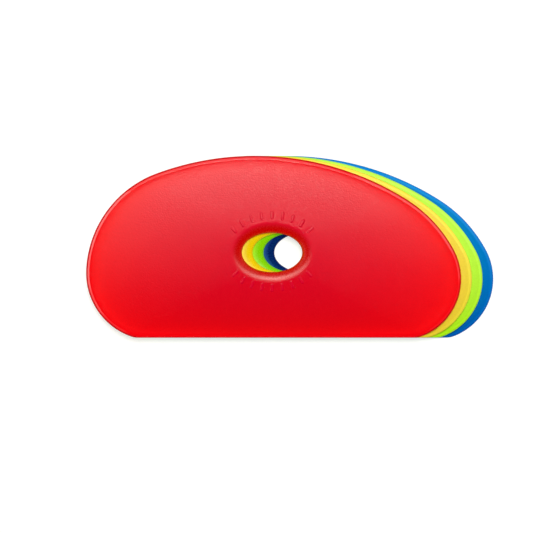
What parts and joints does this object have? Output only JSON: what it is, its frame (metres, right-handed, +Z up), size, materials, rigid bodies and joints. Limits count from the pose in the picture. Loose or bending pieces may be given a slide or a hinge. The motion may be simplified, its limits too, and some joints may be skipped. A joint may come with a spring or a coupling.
{
  "type": "pottery rib set",
  "caption": "Stack of loose flexible clay-shaping ribs, each with an arched edge, a straight edge, a bevelled rim and a dished oval finger hole.",
  "frame": {"origin": "middle of the stack's box, on the surface that it lies on", "axes": "+X along the ribs' length towards their broad right end, +Y towards the arched edges, +Z up through the stack"},
  "size_m": [0.2002, 0.0894, 0.0249],
  "materials": {
    "blue_rubber": "satin face with a polished rim",
    "green_rubber": "satin face with a polished rim",
    "yellow_rubber": "satin face with a polished rim",
    "red_rubber": "satin face with a polished rim"
  },
  "bodies": {
    "blue_rib": {"blue_rib": "blue_rubber"},
    "green_rib": {"green_rib": "green_rubber"},
    "yellow_rib": {"yellow_rib": "yellow_rubber"},
    "red_rib": {"red_rib": "red_rubber"}
  },
  "joints": [
    {"name": "green_lift", "type": "slide", "parent": "blue_rib", "child": "green_rib", "axis": [0, 0, 1], "range_m": [0, 0.05]},
    {"name": "yellow_lift", "type": "slide", "parent": "green_rib", "child": "yellow_rib", "axis": [0, 0, 1], "range_m": [0, 0.05]},
    {"name": "red_lift", "type": "slide", "parent": "yellow_rib", "child": "red_rib", "axis": [0, 0, 1], "range_m": [0, 0.05]}
  ]
}
